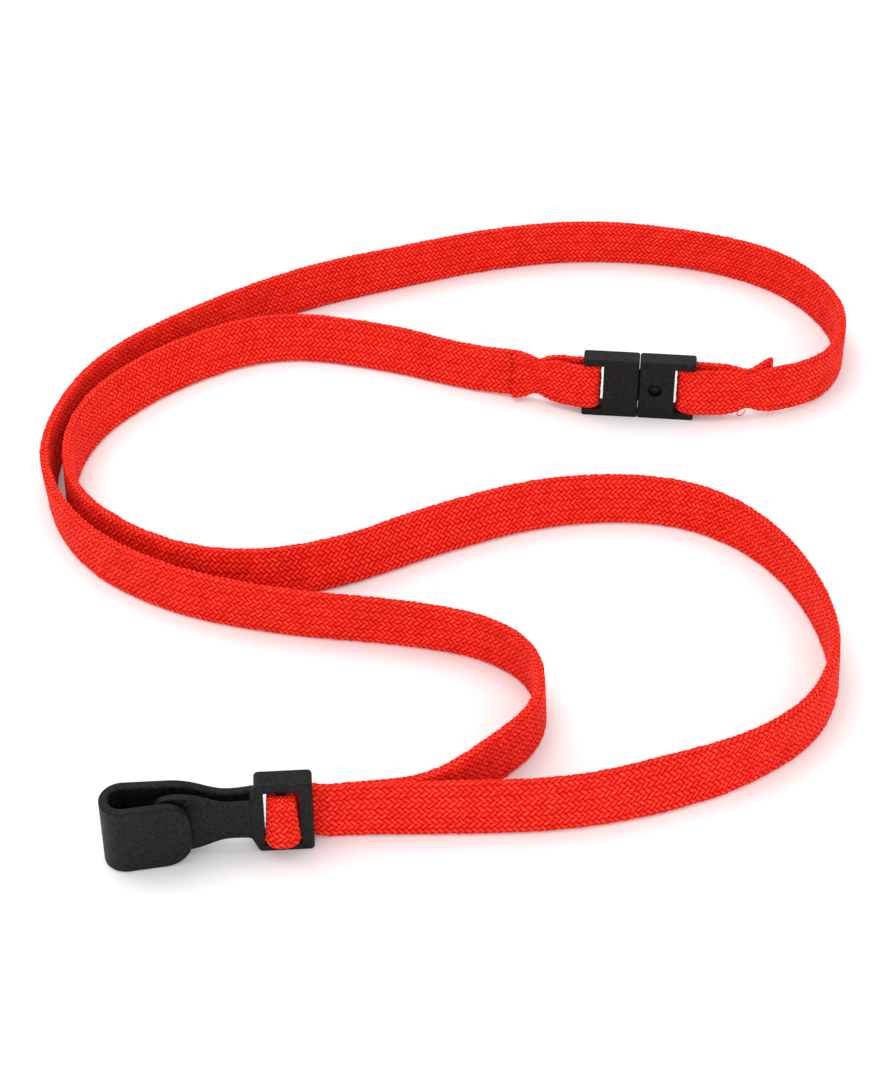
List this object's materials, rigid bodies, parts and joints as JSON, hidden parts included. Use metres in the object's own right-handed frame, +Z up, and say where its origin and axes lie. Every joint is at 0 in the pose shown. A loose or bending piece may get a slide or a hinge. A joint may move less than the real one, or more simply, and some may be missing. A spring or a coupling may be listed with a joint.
{
  "type": "lanyard",
  "caption": "Flat braided neck strap in one long loop, with a plastic swing hook that has a springy gate, and a two-part breakaway buckle.",
  "frame": {"origin": "middle of the flat underside of the hook's frame, on the table", "axes": "+Z up, along the width of the standing strap; +X along the hook, from its bend to the strap; +Y from the hook's front plate to its back arm"},
  "size_m": [0.1673, 0.1845, 0.015],
  "materials": {
    "braid": "flat tubular polyester braid, satin",
    "thread": "polyester sewing thread",
    "hook_plastic": "moulded acetal with a fine spark texture",
    "buckle_plastic": "moulded acetal with a fine spark texture"
  },
  "bodies": {
    "strap": {"strap_inner_run": "braid", "strap_slack": "braid", "strap_hook_loop": "braid", "strap_outer_run": "braid", "strap_socket_loop": "braid", "socket_seam": "thread", "buckle_socket": "buckle_plastic"},
    "hook": {"hook_body": "hook_plastic"},
    "gate": {"hook_gate": "hook_plastic"},
    "plug": {"buckle_plug": "buckle_plastic", "strap_plug_loop": "braid", "plug_seam": "thread"}
  },
  "joints": [
    {"name": "hook_swing", "type": "hinge", "parent": "strap", "child": "hook", "pos_m": [-0.0004, -0.0006, 0.007], "axis": [0, 0, -1], "range_deg": [0, 20]},
    {"name": "gate_flex", "type": "hinge", "parent": "hook", "child": "gate", "pos_m": [-0.0057, -0.0012, 0.007], "axis": [0, 0, -1], "range_deg": [0, 4.5], "stiffness_Nm_per_rad": 0.05},
    {"name": "breakaway_pull", "type": "slide", "parent": "strap", "child": "plug", "axis": [-0.9863, 0.165, 0], "range_m": [0, 0.008], "deforming": ["strap_slack"]}
  ]
}
